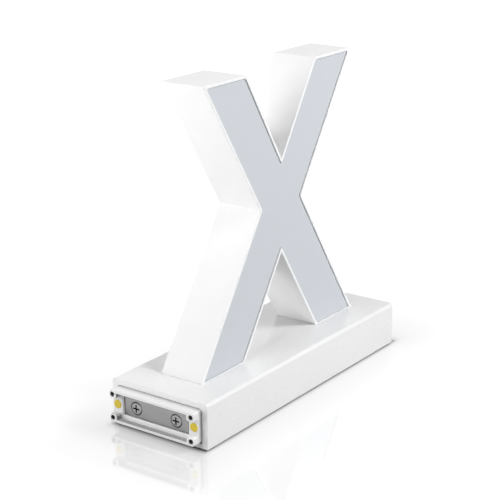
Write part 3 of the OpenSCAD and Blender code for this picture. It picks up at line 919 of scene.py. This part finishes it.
socket = {
    "back": -15.0,
    "face": -5.8,
    "plinth": (35.5, 10.1),
    "plinthOut": -3.3,
    "pocket": (33.7, 8.3),
    "pocketFloor": -7.3,
    "boreEnd": -11.3,
    "pinHole": 0.75,
    "pinDepth": 5.0,
    "barrelHole": 1.25,
    "tailScrewX": -19.0,
    "magnetFace": -3.3,
}
middleHeight = (baseLow.z + baseHigh.z) / 2
plugPlace = Matrix.Translation((baseLow.x, 0, middleHeight)) @ turnBy(180, "Z")
socketPlace = Matrix.Translation((baseHigh.x, 0, middleHeight))
sides = (-1, 1)


def bothSides(y):
    return [Vector((0, side * y, 0)) for side in sides]


guidePlaces = [Vector((0, y * connector["guideY"], z * connector["guideZ"])) for y in sides for z in sides]


def frameBlock(back, front, cuts):
    # a block cut into cells, with the tail that the base's screws hold
    bm = bmesh.new()
    wide, high = connector["width"] / 2, connector["height"] / 2
    boxBetween(bm, (back, -wide, -high), (front, wide, high))
    tailHalf, tailTop = connector["tailHalf"], connector["tailTop"]
    sliceAt(bm, 1, [side * y for side in sides for y, _ in cuts] + [-tailHalf, tailHalf])
    sliceAt(bm, 2, [side * z for side in sides for _, z in cuts] + [tailTop])
    tail = facesOn(bm, 0, back, lambda c: abs(c.y) < tailHalf and c.z < tailTop)
    pushFaces(bm, tail, (-connector["tailLength"], 0, 0))
    return bm


def sinkPocket(bm, level, pocket, floor, chamfer=0.0):
    wide, high = pocket[0] / 2 + chamfer, pocket[1] / 2 + chamfer
    cells = facesOn(bm, 0, level, lambda c: abs(c.y) < wide and abs(c.z) < high)
    mouth = bmesh.ops.dissolve_faces(bm, faces=cells, use_verts=False)["region"]
    if chamfer:
        mouth = pushFaces(bm, mouth, (-chamfer, 0, 0))
        scale = Vector((1, pocket[0] / 2 / wide, pocket[1] / 2 / high))
        bmesh.ops.scale(bm, vec=scale, verts=mouth[0].verts)
    pushFaces(bm, mouth, (floor - level + chamfer, 0, 0))


def mergeFlats(bm):
    bmesh.ops.dissolve_limit(bm, angle_limit=flatBelow, verts=bm.verts[:], edges=bm.edges[:])
    bmesh.ops.recalc_face_normals(bm, faces=bm.faces)


def finishFrame(bm, shape):
    # bores for the magnet's screws and for the screws from below
    bore = connector["screwHole"]
    bores = [(spot, bore) for spot in bothSides(connector["screwY"])]
    blindHoles(bm, 0, shape["pocketFloor"], bores, [(bore, shape["boreEnd"])])
    below = [(centreAt(spot, 0, shape["tailScrewX"]), bore) for spot in bothSides(connector["tailScrew"])]
    blindHoles(bm, 2, -connector["height"] / 2, below, [(bore, connector["tailScrewTop"])])


def makePlugFrame():
    wide, high = connector["width"] / 2, connector["height"] / 2
    innerY, innerZ, hoodZ = wide - plug["boss"], high - plug["boss"], high - plug["hood"]
    mouthY, mouthZ = (side / 2 + plug["chamfer"] for side in plug["pocket"])
    bm = frameBlock(plug["back"], plug["bezel"], [(innerY, innerZ), (mouthY, mouthZ), (mouthY, hoodZ)])
    hood = facesOn(bm, 0, plug["bezel"],
                   lambda c: abs(c.z) > hoodZ or abs(c.y) > innerY and abs(c.z) > innerZ)
    pushFaces(bm, hood, (plug["out"] - plug["bezel"], 0, 0))
    sinkPocket(bm, plug["bezel"], plug["pocket"], plug["pocketFloor"], plug["chamfer"])
    mergeFlats(bm)

    def bossCorner(middle, run):
        y, z = abs(middle.y), abs(middle.z)
        atSide, atTop = y > wide - slack, z > high - slack
        inner = abs(z - innerZ) < slack and (atSide or abs(y - innerY) < slack)
        return middle.x > plug["back"] and (atSide and atTop or inner)

    roundEdges(bm, edgesAlong(bm, 0, bossCorner), connector["corner"], connector["cornerSteps"])
    roundEdges(bm, rimOn(bm, 0, plug["out"]), connector["rim"])
    hole = plug["guideHole"]
    guides = [(spot, plug["guideMouth"]) for spot in guidePlaces]
    blindHoles(bm, 0, plug["out"], guides,
               [(hole, plug["out"] - plug["mouthDepth"]), (hole, plug["guideEnd"])])
    studs = [(spot, plug["studHole"]) for spot in bothSides(connector["contactY"])]
    throughHoles(bm, 0, (plug["bezel"], plug["back"]), studs)
    finishFrame(bm, plug)
    # faces deep in the guide holes and faces inside the hood get darker finishes, which paint the shade that
    # falls there
    for face in bm.faces:
        middle = face.calc_center_median()
        near = min((middle - spot).yz.length for spot in guidePlaces)
        within = plug["bezel"] < middle.x < plug["out"] - connector["rim"]
        if near < hole and middle.x < plug["out"] - plug["paintedShadeFrom"]:
            face.material_index = 1  # painted shade in the guide holes
        elif within and abs(middle.y) < innerY + slack and abs(middle.z) < hoodZ + slack:
            face.material_index = 2  # painted shade inside the hood
    piece = makePiece("plugFrame", bm, "plug_frame", place=plugPlace)
    piece.data.materials.append(paintedBoreShade)
    piece.data.materials.append(paintedLedgeShade)


def makeSocketFrame():
    wide = connector["width"] / 2
    cuts = [(y / 2, z / 2) for y, z in (socket["plinth"], socket["pocket"])]
    plinthY, plinthZ = cuts[0]
    bm = frameBlock(socket["back"], socket["face"], cuts)
    plinth = facesOn(bm, 0, socket["face"], lambda c: abs(c.y) < plinthY and abs(c.z) < plinthZ)
    pushFaces(bm, plinth, (socket["plinthOut"] - socket["face"], 0, 0))
    sinkPocket(bm, socket["plinthOut"], socket["pocket"], socket["pocketFloor"])
    mergeFlats(bm)
    edges = edgesAlong(bm, 0, lambda middle, run: abs(middle.y) > wide - slack)
    roundEdges(bm, edges, connector["corner"], connector["cornerSteps"])
    roundEdges(bm, rimOn(bm, 0, socket["plinthOut"]), connector["rim"])
    rim = rimOn(bm, 0, socket["face"], lambda c: abs(c.y) > plinthY + slack or abs(c.z) > plinthZ + slack)
    roundEdges(bm, rim, connector["rim"])
    pins = [(spot, socket["pinHole"]) for spot in guidePlaces]
    barrels = [(spot, socket["barrelHole"]) for spot in bothSides(connector["contactY"])]
    rims = cutHoles(bm, 0, socket["face"], pins + barrels)
    ends = cutHoles(bm, 0, socket["back"], barrels)
    for (centre, radius), rim in zip(pins, rims):
        floor = growRim(bm, rim, 0, centre, [(radius, socket["face"] - socket["pinDepth"])])
        bmesh.ops.edgeloop_fill(bm, edges=floor)
    for rim, end in zip(rims[len(pins):], ends):
        bmesh.ops.bridge_loops(bm, edges=rim + end)
    finishFrame(bm, socket)
    makePiece("socketFrame", bm, "socket_frame", place=socketPlace)


makePlugFrame()
makeSocketFrame()

# bar magnets and what sits in the connectors
magnet = {
    "half": (16.7, 4.0),
    "thick": 4.0,
    "corner": 0.35,
    "cornerSteps": 4,
    "rim": 0.25,
    "seat": 2.9,
    "seatMouth": 3.0,
    "mouthDepth": 0.14,
    "seatDepth": 1.6,
}
padProfile = [  # radius and height of a flat contact with its stud
    (0, 0.25), (1.6, 0.25), (1.76, 0.25), (1.86, 0.21), (1.9, 0.12), (1.9, 0),
    (1, 0), (1, -11.7), (0.8, -12), (0, -12),
]
pinProfile = [  # a guide pin, thinner where it sits in the frame
    (0, -10.8), (0.55, -10.8), (0.7, -10.65), (0.7, -5.8), (0.95, -5.8), (0.95, -2.36), (0.9, -2.2),
    (0.52, -1.86), (0.42, -1.8), (0, -1.8),
]
plunger = {
    "radius": 0.65,
    "tip": -1.75,
    "collar": 0.8,
    "collarFrom": -9.45,
    "collarTo": -8.45,
    "chamfer": 0.08,
}
spring = {
    "radius": 0.65,
    "wire": 0.1,
    "wireSteps": 8,
    "back": -14.7,
    "front": -9.5,
    "turns": 8,
    "turnSteps": 24,
    "pressed": 4.0,  # its length with the plunger all the way in
}
contactSides = {"Front": -1, "Rear": 1}
roundSteps = 32  # for pins and plungers


def makeMagnet(name, nodeName, face, place):
    bm = bmesh.new()
    wide, high = magnet["half"]
    back = face - magnet["thick"]
    boxBetween(bm, (back, -wide, -high), (face, wide, high))
    roundEdges(bm, edgesOfLength(bm, 0, magnet["thick"]), magnet["corner"], magnet["cornerSteps"])
    roundEdges(bm, rimOn(bm, 0, face), magnet["rim"])
    seat, floor = magnet["seat"], face - magnet["seatDepth"]
    seats = [(spot, magnet["seatMouth"]) for spot in bothSides(connector["screwY"])]
    steps = [(seat, face - magnet["mouthDepth"]), (seat, floor), (connector["screwHole"], floor)]
    throughHoles(bm, 0, (face, back), seats, steps)
    makePiece(name, bm, nodeName, place=place)


def makeContacts():
    for end, side in contactSides.items():
        bm = bmesh.new()
        spot = Matrix.Translation((baseLow.x - plug["bezel"], side * connector["contactY"], middleHeight))
        spinProfile(bm, padProfile, spot @ turnBy(-90, "Y"))
        makePiece("plugContact" + end, bm, "plug_contact_" + end.lower())


def inSocket(spot):
    return socketPlace @ Matrix.Translation(spot) @ facing[0]


def makeGuidePins():
    bm = bmesh.new()
    for spot in guidePlaces:
        spinProfile(bm, pinProfile, inSocket(spot), roundSteps)
    makePiece("guidePins", bm, "guide_pins")


def makePlungers():
    radius, tip = plunger["radius"], plunger["tip"]
    dome = [(radius * math.cos(turn), tip - radius + radius * math.sin(turn)) for turn in quarterTurn]
    collar, start, stop = plunger["collar"], plunger["collarFrom"], plunger["collarTo"]
    cut = plunger["chamfer"]
    foot = [(0, start), (collar - cut, start), (collar, start + cut), (collar, stop - cut),
            (collar - cut, stop), (radius, stop)]
    for end, side in contactSides.items():
        bm = bmesh.new()
        spinProfile(bm, foot + dome, inSocket((0, side * connector["contactY"], 0)), roundSteps)
        makePiece("contactPlunger" + end, bm, "contact_plunger_" + end.lower(), "contact_" + end.lower())


def makeSprings():
    # a ring of wire turned and lifted into a coil
    low, high = spring["back"] + spring["wire"], spring["front"] - spring["wire"]
    steps = spring["turns"] * spring["turnSteps"]
    for end, side in contactSides.items():
        bm = bmesh.new()
        bmesh.ops.create_circle(bm, cap_ends=False, radius=spring["wire"], segments=spring["wireSteps"],
                                matrix=Matrix.Translation((spring["radius"], 0, low)) @ turnBy(90, "X"))
        bmesh.ops.spin(bm, geom=bm.verts[:] + bm.edges[:], cent=(0, 0, 0), axis=(0, 0, 1),
                       dvec=(0, 0, (high - low) / steps), angle=math.tau * spring["turns"], steps=steps,
                       use_merge=False, use_duplicate=False)
        bmesh.ops.holes_fill(bm, edges=[edge for edge in bm.edges if edge.is_boundary], sides=0)
        spot = inSocket((0, side * connector["contactY"], 0))
        piece = makePiece("contactSpring" + end, bm, "contact_spring_" + end.lower(), place=spot)
        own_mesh(piece)


# screws with a cross recess, drawn with the head's face at z = 0
screwKind = {  # what all of them share
    "ring": 1.12,  # the circle round the cross, by its arms
    "taper": 0.84,  # the recess narrows towards its floor
    "edgeIn": 0.12,
    "edgeDown": 0.1,
    "tip": 0.35,
}
coverScrew = {
    "span": 3.0, "width": 0.75, "deep": 0.85,  # the cross
    "head": 2.8, "sink": 1.5, "shank": 1.45, "length": 8.0,
}
panelScrew = {
    "span": 2.4, "width": 0.6, "deep": 0.62,
    "head": 2.2, "sink": 1.1, "shank": 1.2, "length": 11.0,
}
magnetScrew = {
    "span": 3.4, "width": 0.7, "deep": 1.7,
    "head": 2.72, "shank": 1.45, "length": 7.5,
    "rise": 0.3, "rim": 0.62, "seat": -1.6,  # how far the head stands up, its round rim and the seat
}


def drawScrew(bm, screw, profile, place, rise=0.0):
    before = set(bm.verts)
    arm, half = screw["span"] / 2, screw["width"] / 2
    quarter = [Vector((half, arm, 0)), Vector((half, half, 0)), Vector((arm, half, 0))]
    verts = [bm.verts.new(turnBy(-90 * turn, "Z") @ corner) for turn in range(4) for corner in quarter]
    cross = [bm.edges.new((verts[k - 1], verts[k])) for k in range(len(verts))]
    rim = ringAt(bm, 2, (0, 0, 0), arm * screwKind["ring"])
    bmesh.ops.triangle_fill(bm, use_beauty=True, use_dissolve=False, edges=cross + rim)
    bmesh.ops.translate(bm, vec=(0, 0, rise), verts=[v for v in bm.verts if v not in before])
    floor, floorEdges = farSide(bmesh.ops.extrude_edge_only(bm, edges=cross)["geom"])
    for v in floor:
        v.co = (v.co.x * screwKind["taper"], v.co.y * screwKind["taper"], rise - screw["deep"])
    bmesh.ops.edgeloop_fill(bm, edges=floorEdges)
    bmesh.ops.edgeloop_fill(bm, edges=growRim(bm, rim, 2, (0, 0, 0), profile))
    bmesh.ops.transform(bm, matrix=place, verts=[v for v in bm.verts if v not in before])


def shankTip(screw):
    shank, end, tip = screw["shank"], -screw["length"], screwKind["tip"]
    return [(shank, end + tip), (shank - tip, end)]


def makeFlatScrews(name, nodeName, screw, axis, level, turn):
    head, shank = screw["head"], screw["shank"]
    profile = [(head - screwKind["edgeIn"], 0), (head, -screwKind["edgeDown"]), (shank, -screw["sink"])]
    profile += shankTip(screw)
    bm = bmesh.new()
    for centre in solidCentres(nodeName):
        drawScrew(bm, screw, profile, Matrix.Translation(centreAt(centre, axis, level)) @ turn)
    makePiece(name, bm, nodeName)


def makeMagnetScrews(name, nodeName, face, place):
    head, shank, seat = magnetScrew["head"], magnetScrew["shank"], magnetScrew["seat"]
    rise, rim = magnetScrew["rise"], magnetScrew["rim"]
    profile = [(head - rim + rim * math.sin(turn), rise - rim + rim * math.cos(turn)) for turn in quarterTurn]
    profile += [(head, seat), (shank, seat), *shankTip(magnetScrew)]
    bm = bmesh.new()
    for spot in bothSides(connector["screwY"]):
        drawScrew(bm, magnetScrew, profile, Matrix.Translation(centreAt(spot, 0, face)) @ facing[0], rise)
    makePiece(name, bm, nodeName, place=place)


makeMagnet("plugMagnet", "plug_magnet", plug["magnetFace"], plugPlace)
makeMagnet("socketMagnet", "socket_magnet", socket["magnetFace"], socketPlace)
makeContacts()
makeGuidePins()
makePlungers()
makeSprings()
print("connectors: frames, magnets, contacts, springs and pins")
makeMagnetScrews("plugMagnetScrews", "plug_magnet_screws", plug["magnetFace"], plugPlace)
makeMagnetScrews("socketMagnetScrews", "socket_magnet_screws", socket["magnetFace"], socketPlace)
makeFlatScrews("undersideScrews", "underside_screws", coverScrew, 2, baseLow.z, turnBy(180, "X"))
makeFlatScrews("backPanelScrews", "back_panel_screws", panelScrew, 1, panelBack, turnBy(-90, "X"))
print("screws: magnets, underside and back panel")
